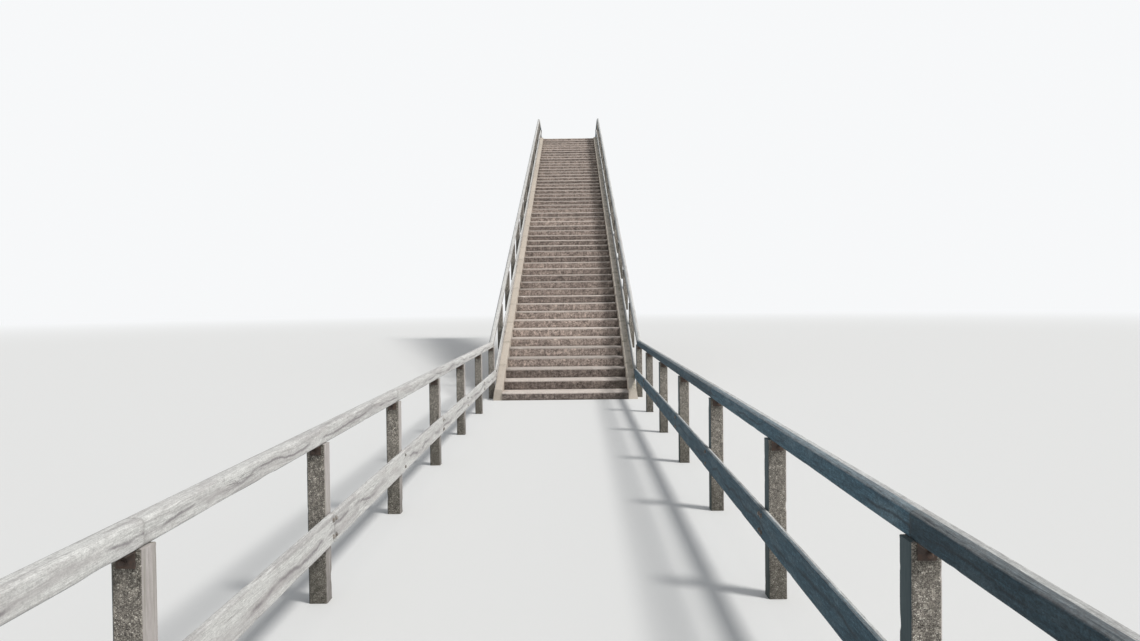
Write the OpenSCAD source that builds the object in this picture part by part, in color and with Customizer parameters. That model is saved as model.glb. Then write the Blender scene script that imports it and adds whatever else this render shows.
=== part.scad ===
// A long straight flight of solid concrete block steps up a slope, between two
// sloping kerbs, with a timber railing on concrete posts along each side. The
// railing starts on the level in front of the flight, climbs beside it and turns
// level again at its head. All sizes are in millimetres.
// +Y runs up the flight, +X to the right seen from its foot, +Z up. The origin is
// the middle of the bed of the lowest step, at ground level.

/* [Steps] */
// Number of block steps in the flight
step_count = 52; // [26:1:60]
// Rise from one tread to the next
rise = 160; // [130:1:180]
// Going from one riser to the next
going = 434; // [380:1:480]
// Height of the lowest riser above the ground
first_rise = 130; // [100:1:180]
// Clear width of the flight between its kerbs
flight_w = 2060; // [1200:10:3000]
// Width of the strip at the back of a block that the next one lies on
bed_lap = 46; // [30:1:80]
// Radius of the rounded front edge of a tread
nosing_r = 15; // [4:1:30]

/* [Kerbs] */
// Width of a kerb at its top
kerb_w = 130; // [100:5:180]
// Extra width of a kerb at its foot, where its outer side leans out
kerb_lean = 20; // [5:1:40]
// Height of a kerb, square to the slope
kerb_h = 250; // [200:5:320]
// Height of the leaning part of a kerb's outer side
kerb_lean_h = 150; // [80:5:180]
// Height that a kerb stands above the line of the nosings, square to the slope
kerb_stand = 38; // [10:1:80]
// Bevel along the top edges of a kerb
kerb_bevel = 9; // [3:1:20]
// Length of one kerb piece
kerb_piece_l = 1000; // [600:10:1500]
// Open joint between two kerb pieces
kerb_joint = 4; // [2:0.5:10]
// Distance from the lowest riser to the front end of a kerb
kerb_setback = 20; // [0:5:100]

/* [Posts] */
// Side of the square posts
post_w = 100; // [80:5:140]
// Bevel along the upright edges of a post
post_bevel = 7; // [2:1:15]
// Distance between two posts on the level
bay = 2000; // [1500:10:2400]
// Number of bays in front of the flight
approach_bays = 7; // [2:1:7]
// Number of bays beside the flight
flight_bays = 12; // [6:1:16]
// Number of bays at the head of the flight
head_bays = 1; // [1:1:2]
// Distance from the lowest riser to the middle of the corner post
corner_in = 350; // [100:10:900]

/* [Rails] */
// Width of the top rail
top_rail_w = 70; // [50:1:90]
// Depth of the top rail
top_rail_h = 88; // [60:1:130]
// Height of the top rail's upper face above the ground
top_rail_z = 940; // [850:5:1200]
// Bevel along the upper edges of the top rail
top_rail_bevel = 10; // [3:1:20]
// Thickness of the lower rail, a plank on the inner faces of the posts
low_rail_t = 32; // [20:1:60]
// Depth of the lower rail
low_rail_h = 160; // [100:5:200]
// Height of the lower rail's upper edge above the ground
low_rail_z = 475; // [350:5:650]
// Bevel along the edges of the lower rail
low_rail_bevel = 4; // [2:1:10]
// Open joint between two lengths of rail
rail_joint = 4; // [2:0.5:10]
// Length that the rails run past the last post
rail_end = 30; // [0:5:150]

/* [Brackets] */
// Width of the steel angle that holds the top rail on a post
angle_w = 60; // [40:1:80]
// Length of the upright leg of the angle
angle_leg = 55; // [40:1:80]
// Length of the leg under the rail
angle_arm = 60; // [40:1:90]
// Thickness of the angle
angle_t = 6; // [4:0.5:10]

/* [Hidden] */
// Clearance between pieces that seat on each other
seat = 0.3;
// Numbers of nodes that the steps and each kerb are shared out to
step_groups = 13;
kerb_groups = 3;
// Bays that one length of rail spans, and the first, shorter lower length
rail_span = 2;
low_first = 1;
$fn = 48;

pitch = rise / going;
slope = atan(pitch);
block_d = going + bed_lap;
front_y = -block_d / 2;
landing_z = first_rise + (step_count - 1) * rise;
back_y = front_y + (step_count - 1) * going + block_d;

kerb_in_x = flight_w / 2;
kerb_foot_x = kerb_in_x + kerb_w + kerb_lean;
kerb_y = front_y + kerb_setback;
kerb_run = (back_y - kerb_y) / cos(slope);
kerb_pieces = max(kerb_groups, round(kerb_run / kerb_piece_l));
kerb_step = kerb_run / kerb_pieces;
kerb_bottom = kerb_stand - kerb_h;

post_in_x = kerb_foot_x + seat;
post_x = post_in_x + post_w / 2;
corner_y = front_y + corner_in;
corner_run = landing_z / pitch;
head_y = corner_y + corner_run;
flight_bay = corner_run / flight_bays;
head_foot_z = landing_z - rise;
rail_past = post_w / 2 + rail_end + rail_joint / 2;

top_under_z = top_rail_z - top_rail_h;
low_under_z = low_rail_z - low_rail_h;

LEFT = 0;
RIGHT = 1;
STONE = [0.56, 0.49, 0.45];
KERB = [0.66, 0.6, 0.53];
POST = [0.5, 0.46, 0.43];
TIMBER = [0.63, 0.64, 0.65];
RUST = [0.25, 0.16, 0.12];

// Height of the line of the nosings at y
function nosing_z(y) = first_rise + (y - front_y) * pitch;

// Height of a rail's underside at y, for a rail that is level at z until the corner post
function rail_z(z, y) = z + max(0, min(y, head_y) - corner_y) * pitch;

// Bays at which a railing's lengths of rail meet, with both ends
function rail_cuts(bays, first) = [0, for (k = [1 : bays - 1]) if ((k - first) % rail_span == 0) k, bays];

// Extrudes an outline in Y and Z by w, centred on x
module slab_yz(x, w) {
    translate([x - w / 2, 0, 0])
        rotate([90, 0, 90])
            linear_extrude(height = w) children();
}

// Puts what is drawn for the right side on one side of the flight
module on_side(side) {
    if (side == LEFT)
        mirror([1, 0, 0]) children();
    else
        children();
}

// One block step: a rectangle with a rounded front top edge, seen from the side
module block_outline(height) {
    difference() {
        square([block_d, height]);
        translate([-1, height - nosing_r]) square([nosing_r + 1, nosing_r + 1]);
    }
    translate([nosing_r, height - nosing_r]) circle(r = nosing_r);
}

// Block number k, counted from 0 at the foot
module block(k) {
    bed_z = k == 0 ? 0 : first_rise + (k - 1) * rise + seat;
    top_z = first_rise + k * rise;
    translate([0, front_y + k * going, bed_z])
        slab_yz(0, flight_w - 2 * seat) block_outline(top_z - bed_z);
}

module steps(group) {
    first = floor(group * step_count / step_groups);
    last = floor((group + 1) * step_count / step_groups) - 1;
    color(STONE)
        for (k = [first : last]) block(k);
}

// Kerb outline in X and Z, square to the slope, for the right side
module kerb_outline() {
    top_x = kerb_in_x + kerb_w;
    polygon([
        [kerb_in_x, kerb_bottom],
        [kerb_foot_x, kerb_bottom],
        [kerb_foot_x, kerb_stand - kerb_lean_h],
        [top_x, kerb_stand - kerb_bevel],
        [top_x - kerb_bevel, kerb_stand],
        [kerb_in_x + kerb_bevel, kerb_stand],
        [kerb_in_x, kerb_stand - kerb_bevel]
    ]);
}

// Side view of the space that a kerb fills: plumb at both ends, level on the ground and at the head
module kerb_limits() {
    translate([kerb_y, 0])
        square([back_y - kerb_y, landing_z + kerb_stand]);
}

// Kerb piece number k, counted from 0 at the foot
module kerb_piece(k) {
    run_on = kerb_h;
    start = k == 0 ? -run_on : k * kerb_step + kerb_joint / 2;
    end = k == kerb_pieces - 1 ? kerb_run + run_on : (k + 1) * kerb_step - kerb_joint / 2;
    intersection() {
        translate([0, kerb_y, nosing_z(kerb_y)])
            rotate([slope, 0, 0])
                translate([0, end, 0])
                    rotate([90, 0, 0])
                        linear_extrude(height = end - start) kerb_outline();
        slab_yz(kerb_in_x + kerb_w / 2, 2 * kerb_w) kerb_limits();
    }
}

module kerb(side, group) {
    first = floor(group * kerb_pieces / kerb_groups);
    last = floor((group + 1) * kerb_pieces / kerb_groups) - 1;
    color(KERB)
        on_side(side)
            for (k = [first : last]) kerb_piece(k);
}

// Post section: a square with bevelled corners
module post_section() {
    half = post_w / 2;
    in = half - post_bevel;
    polygon([[-in, -half], [in, -half], [half, -in], [half, in], [in, half], [-in, half], [-half, in], [-half, -in]]);
}

// Side view of the space that a post at y may fill, from its foot to the underside of the top rail
module post_limits(y, foot_z) {
    front = y - post_w;
    back = y + post_w;
    polygon([
        [front, foot_z],
        [back, foot_z],
        [back, rail_z(top_under_z, back) - seat],
        [y, rail_z(top_under_z, y) - seat],
        [front, rail_z(top_under_z, front) - seat]
    ]);
}

module post(y, foot_z) {
    run_on = post_w;
    intersection() {
        translate([post_x, y, foot_z - run_on])
            linear_extrude(height = rail_z(top_under_z, y) + 2 * run_on - foot_z) post_section();
        slab_yz(post_x, 2 * post_w) post_limits(y, foot_z);
    }
}

// Foot of flight post i: at the underside of the kerb, or on the ground at the corner
function flight_foot_z(i) =
    i == 0 ? 0
    : i == flight_bays ? head_foot_z
    : nosing_z(corner_y + i * flight_bay) + kerb_bottom / cos(slope);

module posts_approach(side) {
    color(POST)
        on_side(side)
            for (i = [1 : approach_bays]) post(corner_y - i * bay, 0);
}

module posts_flight(side, first, last) {
    color(POST)
        on_side(side)
            for (i = [first : last]) post(corner_y + i * flight_bay, flight_foot_z(i));
}

module posts_head(side) {
    color(POST)
        on_side(side)
            for (i = [1 : head_bays]) post(head_y + i * bay, head_foot_z);
}

// Rail section with bevelled long edges, its underside at z 0 and centred on x 0
module rail_section(w, h, upper, lower) {
    half = w / 2;
    polygon([
        [lower - half, 0], [half - lower, 0], [half, lower], [half, h - upper],
        [half - upper, h], [upper - half, h], [-half, h - upper], [-half, lower]
    ]);
}

// Point at height d on an end cut that starts at point p and leans back from plumb by lean
function on_cut(p, d, lean) = p + d * [-sin(lean), cos(lean)];

// A length of rail whose underside runs from one point of the YZ plane to another.
// size holds its width, depth and upper and lower bevels, lean the angles of its end cuts.
module rail(x, from, to, lean, tilt, size) {
    way = [cos(tilt), sin(tilt)];
    a = from + rail_joint / 2 * way;
    b = to - rail_joint / 2 * way;
    run_on = size[1];
    over = 2 * size[1];
    intersection() {
        slab_yz(x, 2 * size[0])
            polygon([
                on_cut(a, -run_on, lean[0]),
                on_cut(b, -run_on, lean[1]),
                on_cut(b, over, lean[1]),
                on_cut(a, over, lean[0])
            ]);
        translate([x, a[0], a[1]])
            rotate([tilt, 0, 0])
                translate([0, norm(b - a) + over, 0])
                    rotate([90, 0, 0])
                        linear_extrude(height = norm(b - a) + 2 * over)
                            rail_section(size[0], size[1], size[2], size[3]);
    }
}

// Places along the railing of the ends of the rails, counted in bays from a corner post
function approach_y(c) = corner_y - c * bay - (c == approach_bays ? rail_past : 0);
function flight_y(c) = corner_y + c * flight_bay;
function head_end_y(c) = head_y + c * bay + (c == head_bays ? rail_past : 0);

// The lengths of one rail in front of the flight, beside it and at its head
module rails_approach(x, z, first, size) {
    cuts = rail_cuts(approach_bays, first);
    for (i = [1 : len(cuts) - 1])
        rail(x, [approach_y(cuts[i]), z], [approach_y(cuts[i - 1]), z], [0, i == 1 ? slope / 2 : 0], 0, size);
}

module rails_flight(x, z, first, size) {
    cuts = rail_cuts(flight_bays, first);
    last = len(cuts) - 1;
    for (i = [1 : last])
        rail(
            x,
            [flight_y(cuts[i - 1]), rail_z(z, flight_y(cuts[i - 1]))],
            [flight_y(cuts[i]), rail_z(z, flight_y(cuts[i]))],
            [i == 1 ? slope / 2 : slope, i == last ? slope / 2 : slope],
            slope,
            size
        );
}

module rails_head(x, z, first, size) {
    cuts = rail_cuts(head_bays, first);
    level = rail_z(z, head_y);
    for (i = [1 : len(cuts) - 1])
        rail(x, [head_end_y(cuts[i - 1]), level], [head_end_y(cuts[i]), level], [i == 1 ? slope / 2 : 0, 0], 0, size);
}

top_size = [top_rail_w, top_rail_h, top_rail_bevel, low_rail_bevel];
low_size = [low_rail_t, low_rail_h, low_rail_bevel, low_rail_bevel];
low_x = post_in_x - seat - low_rail_t / 2;

module top_rail_approach(side) {
    color(TIMBER)
        on_side(side) rails_approach(post_x, top_under_z, rail_span, top_size);
}

module top_rail_flight(side) {
    color(TIMBER)
        on_side(side) rails_flight(post_x, top_under_z, rail_span, top_size);
}

module top_rail_head(side) {
    color(TIMBER)
        on_side(side) rails_head(post_x, top_under_z, rail_span, top_size);
}

module low_rail_approach(side) {
    color(TIMBER)
        on_side(side) rails_approach(low_x, low_under_z, low_first, low_size);
}

module low_rail_flight(side) {
    color(TIMBER)
        on_side(side) rails_flight(low_x, low_under_z, low_first, low_size);
}

module low_rail_head(side) {
    color(TIMBER)
        on_side(side) rails_head(low_x, low_under_z, low_first, low_size);
}

// Steel angle in side view: its upright leg on a post, its arm under a rail that falls away at tilt
module angle_outline(tilt) {
    polygon([
        [0, 0],
        [0, -angle_leg],
        [-angle_t, -angle_leg],
        [-angle_t, -angle_t * tan(tilt) - angle_t / cos(tilt)],
        [angle_t * sin(tilt) - angle_arm * cos(tilt), -angle_arm * sin(tilt) - angle_t * cos(tilt)],
        [-angle_arm * cos(tilt), -angle_arm * sin(tilt)]
    ]);
}

// The angle on the front face of the post at y
module bracket(y, tilt) {
    face_y = y - post_w / 2 - seat;
    slab_yz(post_x, angle_w)
        translate([face_y, rail_z(top_under_z, face_y) - seat]) angle_outline(tilt);
}

module brackets_approach(side) {
    color(RUST)
        on_side(side)
            for (i = [1 : approach_bays]) bracket(corner_y - i * bay, 0);
}

// The brackets from the lower corner post to the last post at the head
module brackets_flight(side) {
    color(RUST)
        on_side(side) {
            bracket(corner_y, 0);
            for (i = [1 : flight_bays]) bracket(corner_y + i * flight_bay, slope);
            for (i = [1 : head_bays]) bracket(head_y + i * bay, 0);
        }
}

half_flight = floor(flight_bays / 2);

steps(0);  // steps_01
steps(1);  // steps_02
steps(2);  // steps_03
steps(3);  // steps_04
steps(4);  // steps_05
steps(5);  // steps_06
steps(6);  // steps_07
steps(7);  // steps_08
steps(8);  // steps_09
steps(9);  // steps_10
steps(10);  // steps_11
steps(11);  // steps_12
steps(12);  // steps_13
kerb(LEFT, 0);  // kerb_left_lower
kerb(LEFT, 1);  // kerb_left_middle
kerb(LEFT, 2);  // kerb_left_upper
kerb(RIGHT, 0);  // kerb_right_lower
kerb(RIGHT, 1);  // kerb_right_middle
kerb(RIGHT, 2);  // kerb_right_upper
posts_approach(LEFT);  // posts_left_approach
posts_flight(LEFT, 0, half_flight);  // posts_left_lower_flight
posts_flight(LEFT, half_flight + 1, flight_bays);  // posts_left_upper_flight
posts_head(LEFT);  // post_left_head
posts_approach(RIGHT);  // posts_right_approach
posts_flight(RIGHT, 0, half_flight);  // posts_right_lower_flight
posts_flight(RIGHT, half_flight + 1, flight_bays);  // posts_right_upper_flight
posts_head(RIGHT);  // post_right_head
top_rail_approach(LEFT);  // top_rail_left_approach
top_rail_flight(LEFT);  // top_rail_left_flight
top_rail_head(LEFT);  // top_rail_left_head
top_rail_approach(RIGHT);  // top_rail_right_approach
top_rail_flight(RIGHT);  // top_rail_right_flight
top_rail_head(RIGHT);  // top_rail_right_head
low_rail_approach(LEFT);  // low_rail_left_approach
low_rail_flight(LEFT);  // low_rail_left_flight
low_rail_head(LEFT);  // low_rail_left_head
low_rail_approach(RIGHT);  // low_rail_right_approach
low_rail_flight(RIGHT);  // low_rail_right_flight
low_rail_head(RIGHT);  // low_rail_right_head
brackets_approach(LEFT);  // brackets_left_approach
brackets_flight(LEFT);  // brackets_left_flight
brackets_approach(RIGHT);  // brackets_right_approach
brackets_flight(RIGHT);  // brackets_right_flight
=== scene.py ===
import itertools
import math

import bmesh
import bpy
import numpy as np
from mathutils import Matrix


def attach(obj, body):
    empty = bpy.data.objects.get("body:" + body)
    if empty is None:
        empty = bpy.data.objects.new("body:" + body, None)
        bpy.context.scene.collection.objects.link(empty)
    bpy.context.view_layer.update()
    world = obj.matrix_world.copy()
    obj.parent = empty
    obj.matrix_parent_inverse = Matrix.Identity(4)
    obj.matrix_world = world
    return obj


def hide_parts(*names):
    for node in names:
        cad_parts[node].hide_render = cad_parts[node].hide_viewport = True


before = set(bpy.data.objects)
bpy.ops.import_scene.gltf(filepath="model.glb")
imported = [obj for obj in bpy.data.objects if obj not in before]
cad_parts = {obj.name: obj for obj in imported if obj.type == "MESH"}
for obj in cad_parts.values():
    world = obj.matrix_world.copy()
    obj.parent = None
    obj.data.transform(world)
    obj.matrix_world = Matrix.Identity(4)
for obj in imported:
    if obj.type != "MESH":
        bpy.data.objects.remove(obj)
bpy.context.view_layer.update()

# sizes in metres, as in the part's source
STEP_COUNT = 52
RISE = 0.16
GOING = 0.434
FIRST_RISE = 0.13
FLIGHT_W = 2.06
BED_LAP = 0.046
NOSING_R = 0.015
SEAT = 0.0003
STEP_GROUPS = 13

KERB_W = 0.13
KERB_LEAN = 0.02
KERB_H = 0.25
KERB_LEAN_H = 0.15
KERB_STAND = 0.038
KERB_BEVEL = 0.009
KERB_PIECE_L = 1.0
KERB_JOINT = 0.004
KERB_SETBACK = 0.02
KERB_PLACES = ("lower", "middle", "upper")

POST_W = 0.1
POST_BEVEL = 0.007
BAY = 2.0
APPROACH_BAYS = 7
FLIGHT_BAYS = 12
HEAD_BAYS = 1
CORNER_IN = 0.35

TOP_W, TOP_H, TOP_Z, TOP_BEVEL = 0.07, 0.088, 0.94, 0.01
LOW_T, LOW_H, LOW_Z, LOW_BEVEL = 0.032, 0.16, 0.475, 0.004
RAIL_END = 0.03
RAIL_SPAN = 2
ANGLE_W, ANGLE_LEG, ANGLE_ARM, ANGLE_T = 0.06, 0.055, 0.06, 0.006

# sizes that only the scene has, in metres
SWOLLEN_JOINT = 0.0012
STRIP_EDGE = 0.001
FILLET_R = 0.006
HEEL_R = 0.0015
ANGLE_BEVEL = 0.0008
ANGLE_BOLT_X, ANGLE_BOLT_DROP = 0.008, 0.037
SCREW_X, SCREW_REACH, SCREW_SUNK = 0.017, 0.04, 0.0002
BOLT_SHIFT = 0.026
BOLT_HEIGHTS = (0.24, 0.8)
WASHER_T, WASHER_SUNK, BOLT_PROUD = 0.0026, 0.0006, 0.002

# places worked out from the sizes
PITCH = RISE / GOING
SLOPE = math.atan(PITCH)
BLOCK_D = GOING + BED_LAP
BLOCK_W = FLIGHT_W - 2 * SEAT
FRONT_Y = -BLOCK_D / 2
LANDING_Z = FIRST_RISE + (STEP_COUNT - 1) * RISE
BACK_Y = FRONT_Y + (STEP_COUNT - 1) * GOING + BLOCK_D
KERB_IN_X = FLIGHT_W / 2
KERB_FOOT_X = KERB_IN_X + KERB_W + KERB_LEAN
KERB_Y = FRONT_Y + KERB_SETBACK
KERB_RUN = (BACK_Y - KERB_Y) / math.cos(SLOPE)
KERB_PIECES = max(len(KERB_PLACES), round(KERB_RUN / KERB_PIECE_L))
KERB_STEP = KERB_RUN / KERB_PIECES
KERB_BOTTOM = KERB_STAND - KERB_H
POST_IN_X = KERB_FOOT_X + SEAT
POST_X = POST_IN_X + POST_W / 2
CORNER_Y = FRONT_Y + CORNER_IN
CORNER_RUN = LANDING_Z / PITCH
HEAD_Y = CORNER_Y + CORNER_RUN
FLIGHT_BAY = CORNER_RUN / FLIGHT_BAYS
HEAD_FOOT_Z = LANDING_Z - RISE
TOP_UNDER_Z = TOP_Z - TOP_H
LOW_UNDER_Z = LOW_Z - LOW_H
LOW_X = POST_IN_X - SEAT - LOW_T / 2
RAIL_PAST = POST_W / 2 + RAIL_END + SWOLLEN_JOINT / 2

# stretches of railing: where the bays start, how long they are, how many and how tilted
STRETCHES = {
    "approach": (CORNER_Y, -BAY, APPROACH_BAYS, 0.0),
    "flight": (CORNER_Y, FLIGHT_BAY, FLIGHT_BAYS, SLOPE),
    "head": (HEAD_Y, BAY, HEAD_BAYS, 0.0),
}

# camera of the photograph
EYE = (0.1581, -14.6461, 1.603)
EYE_PITCH = math.radians(1.241)
EYE_YAW = math.radians(0.279)
EYE_ROLL = math.radians(0.653)
LENS_MM = 28.0
SENSOR_MM = 36.0
CLIP_NEAR, CLIP_FAR = 0.05, 2000

# spacing of mesh points near the eye and far from it, and how far away it is widest
COARSE_AWAY = 18.0
KERB_SPACING = (0.018, 0.036)
POST_SPACING = (0.0028, 0.024)
RAIL_SPACING = (0.014, 0.06)
FINE_BLOCKS = 18

# degrees between faces from which an edge is sharp
SHARP_STONE, SHARP_TIMBER, SHARP_STEEL = 40, 50, 30

SIDES = ("left", "right")
POST_SEED = {"left": 100, "right": 200}
TOP_RAIL_SEED = {"left": 326, "right": 544}
LOW_RAIL_SEED = {"left": 488, "right": 644}
BRACKET_SEED = {"left": 700, "right": 800}
BOLT_SEED = {"left": 900, "right": 1100}

# noise
BITS_32, BITS_24 = 0xFFFFFFFF, 0xFFFFFF
HASH_X, HASH_Y, HASH_Z = 374761393, 668265263, 1103515245
HASH_SEED, HASH_MIX = 974711, 1274126177
PEBBLE_EDGE = 1.7


def lattice(ix, iy, iz, seed):
    """A fixed number from 0 to 1 for each cell, as if by chance."""
    h = (ix * HASH_X + iy * HASH_Y + iz * HASH_Z + seed * HASH_SEED) & BITS_32
    h = ((h ^ (h >> 13)) * HASH_MIX) & BITS_32
    return ((h ^ (h >> 16)) & BITS_24) / float(BITS_24)


def at_cell(cell, seed):
    return lattice(cell[..., 0], cell[..., 1], cell[..., 2], seed)


def value_noise(p, seed):
    """Smooth noise from 0 to 1, one blob for each unit of p."""
    base = np.floor(p).astype(np.int64)
    t = p - base
    t = t * t * (3 - 2 * t)
    total = 0
    for corner in itertools.product((0, 1), repeat=3):
        weight = np.where(corner, t, 1 - t).prod(-1)
        total = total + weight * at_cell(base + corner, seed)
    return total


def fbm(p, seed, octaves=3):
    """Noise from 0 to 1 with finer and weaker noise on it."""
    total, weight, scale = 0, 0, 1.0
    for i in range(octaves):
        total = total + value_noise(p / scale, seed + i) * scale
        weight += scale
        scale *= 0.5
    return total / weight


def pebbles(p, seed):
    """Rounded stones about one unit across: 1 at a stone's middle, 0 between stones."""
    base = np.floor(p).astype(np.int64)
    nearest = np.full(p.shape[:-1], np.inf)
    for step in itertools.product((-1, 0, 1), repeat=3):
        cell = base + step
        middle = cell + np.stack([at_cell(cell, seed + i) for i in range(3)], -1)
        nearest = np.minimum(nearest, np.linalg.norm(p - middle, axis=-1))
    return np.clip(1 - nearest * nearest * PEBBLE_EDGE, 0, 1)


def ramp(x, low, high):
    """0 below low, 1 above high, smooth between."""
    t = np.clip((x - low) / (high - low), 0, 1)
    return t * t * (3 - 2 * t)


# meshes
FIELDS = {"grain": 3, "tone": 1, "bleach": 1, "damp": 1, "wear": 1}


def put_in_scene(name, data):
    thing = bpy.data.objects.new(name, data)
    bpy.context.scene.collection.objects.link(thing)
    return thing


class Shape:
    """Collects solids for one Blender object, with the values that its material reads."""

    def __init__(self):
        self.co, self.faces, self.count = [], [], 0
        self.fields = {name: [] for name in FIELDS}

    def add(self, co, faces, **fields):
        co = np.asarray(co, float)
        if signed_volume(co, faces) < 0:
            faces = [f[:, ::-1] for f in faces]
        self.co.append(co)
        self.faces += [f + self.count for f in faces]
        for name, size in FIELDS.items():
            value = np.asarray(fields.get(name, 0.0), float)
            shape = (len(co), 3) if size == 3 else (len(co),)
            self.fields[name].append(np.broadcast_to(value, shape))
        self.count += len(co)

    def add_tube(self, side, co, grain, **fields):
        """Adds a (rows, cols, 3) grid of closed rings. A field is a grid too, or one value."""
        for name, value in fields.items():
            if np.ndim(value):
                fields[name] = with_middles(value[..., None])[:, 0]
        faces = tube_faces(*co.shape[:2])
        self.add(on_side(side, with_middles(co)), faces, grain=with_middles(grain), **fields)

    def build(self, name, material, sharp):
        mesh = bpy.data.meshes.new(name)
        faces = [f for block in self.faces for f in block.tolist()]
        mesh.from_pydata(np.concatenate(self.co).tolist(), [], faces)
        for field, size in FIELDS.items():
            kind, part = ("FLOAT_VECTOR", "vector") if size == 3 else ("FLOAT", "value")
            layer = mesh.attributes.new(field, kind, "POINT")
            layer.data.foreach_set(part, np.concatenate(self.fields[field]).ravel())
        mesh.polygons.foreach_set("use_smooth", np.ones(len(mesh.polygons), bool))
        mesh.set_sharp_from_angle(angle=math.radians(sharp))
        mesh.update()
        mesh.materials.append(material)
        piece = put_in_scene(name, mesh)
        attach(piece, "root")
        return piece


def signed_volume(co, faces):
    """Six times the volume inside the faces, negative if they face inwards."""
    total = 0.0
    for block in faces:
        for i in range(1, block.shape[1] - 1):
            a, b, c = co[block[:, 0]], co[block[:, i]], co[block[:, i + 1]]
            total += np.einsum("ij,ij->i", a, np.cross(b, c)).sum()
    return total


def tube_faces(rows, cols):
    """Quads between rows of closed rings, and at each end a fan round an added point."""
    r = np.arange(rows - 1)[:, None]
    c = np.arange(cols)[None, :]
    a = r * cols + c
    b = r * cols + (c + 1) % cols
    quads = np.stack([a, b, b + cols, a + cols], -1).reshape(-1, 4)
    ring = np.arange(cols)
    after = (ring + 1) % cols
    last_ring = (rows - 1) * cols
    foot = np.stack([np.full(cols, rows * cols), after, ring], -1)
    top = np.stack([np.full(cols, rows * cols + 1), last_ring + ring, last_ring + after], -1)
    return [quads, foot, top]


def capped_faces(rows, cols):
    """Like tube_faces, with one face for each end, whose ring isn't convex."""
    quads = tube_faces(rows, cols)[0]
    ring = np.arange(cols)
    return [quads, ring[::-1][None], ((rows - 1) * cols + ring)[None]]


def with_middles(grid):
    """A (rows, cols, n) grid as a flat list, followed by the middles of both end rings."""
    middles = [grid[0].mean(0)[None], grid[-1].mean(0)[None]]
    return np.concatenate([grid.reshape(-1, grid.shape[-1]), *middles])


def over_rows(table, rows):
    """Each column of a table of ring points, repeated on that many rows."""
    return [np.repeat(column[None, :], rows, 0) for column in table.T]


def outline_points(corners, step, least=2):
    """Points about step apart round an anticlockwise outline, each with its way out."""
    corners = np.asarray(corners, float)
    edges = np.roll(corners, -1, 0) - corners
    lengths = np.linalg.norm(edges, axis=1)
    normals = np.stack([edges[:, 1], -edges[:, 0]], 1) / lengths[:, None]
    points = []
    for i in range(len(corners)):
        parts = max(least, math.ceil(lengths[i] / step))
        for j in range(parts):
            out = normals[i] if j else normals[i] + normals[i - 1]
            points.append([*(corners[i] + edges[i] * j / parts), *(out / np.linalg.norm(out))])
    return np.array(points)


def stations(length, spacing):
    """Shares from 0 to 1 of a length, about spacing apart."""
    return np.linspace(0, 1, max(2, math.ceil(length / spacing) + 1))


def spacing_at(y, near_far):
    """Spacing at y: fine near the photograph's eye, coarse up the flight."""
    near, far = near_far
    away = max(0.0, y - EYE[1])
    return near + (far - near) * min(1.0, away / COARSE_AWAY)


def on_side(side, co):
    """Points drawn for the right side, mirrored for the left."""
    co = np.array(co, float)
    if side == "left":
        co[..., 0] = -co[..., 0]
    return co


def replace_node(kind, node, material, sharp, add, places):
    """The piece that stands for a node of the part: what add draws at each place."""
    shape = Shape()
    for place in places:
        add(shape, *place)
    piece = shape.build(f"{kind}_{node}", material, sharp)
    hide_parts(node)


def group_of(count, groups, group):
    """The numbers of the pieces in one of some groups of about the same size."""
    return range(group * count // groups, (group + 1) * count // groups)


# block steps
RISER_Z = (0.0, 0.01, 0.035, 0.065, 0.095, 0.12)
FINE_TREAD_Y = (0.024, 0.045, 0.085, 0.15, 0.23, 0.32, 0.4, GOING)
COARSE_TREAD_Y = (0.035, 0.12, 0.28, GOING)
FINE_BLOCK_X, COARSE_BLOCK_X = 0.018, 0.036
WORN_EDGE = 0.035
DARK_BLOCKS = 3
SANDED_BLOCKS = 8


def block_profile(height, fine):
    """Riser, nosing, tread and back of a block: rows of y, z and the way out."""
    r = NOSING_R
    riser = [(0.0, z, -1, 0) for z in RISER_Z if z < height - r - 0.004]
    parts = 6 if fine else 4
    nosing = []
    for i in range(parts + 1):
        a = math.radians(180 - 90 * i / parts)
        nosing.append((r + r * math.cos(a), height - r + r * math.sin(a), math.cos(a), math.sin(a)))
    tread = [(y, height, 0, 1) for y in (FINE_TREAD_Y if fine else COARSE_TREAD_Y)]
    back = [(BLOCK_D, height, 0.7, 0.7), (BLOCK_D, 0.0, 0.7, -0.7)]
    return np.array(riser + nosing + tread + back)


def block_wear(p, nz, edge, k):
    """How far a block's points are worn inwards. What the next block covers isn't."""
    x, y, z = p[..., 0], p[..., 1], p[..., 2]
    walked = 1 - 0.8 * (np.abs(x) / (BLOCK_W / 2)) ** 2
    rough = fbm(p * 28 + k * 11.3, 3) * 0.0016
    hollow = nz * walked * 0.0022 * fbm(p * 3.1 + k * 5.7, 7)
    spots = np.stack([x * 9 + k * 7.1, y * 4, z * 4], -1)
    nicks = ramp(value_noise(spots, 11 + k), 0.7, 0.97) * edge * 0.011
    soft = edge * walked * 0.0035 * value_noise(p * 5 + k * 3.3, 17)
    exposed = ramp(BLOCK_W / 2 - np.abs(x), 0.0, 0.02) * ramp(z, 0.0, 0.012)
    exposed = exposed * (1 - ramp(y, GOING - 0.02, GOING - 0.004))
    return (rough + hollow + nicks + soft) * exposed


def block_tone(k):
    """Brightness of a riser: the lowest are dark, those above them the palest."""
    if k < DARK_BLOCKS:
        return 0.13 + 0.1 * (lattice(k, 3, 5, 91) - 0.5)
    return 0.34 + 0.34 * math.exp(-((k - 4.0) / 5.0) ** 2) + 0.3 * (lattice(k, 3, 5, 91) - 0.5)


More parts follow.
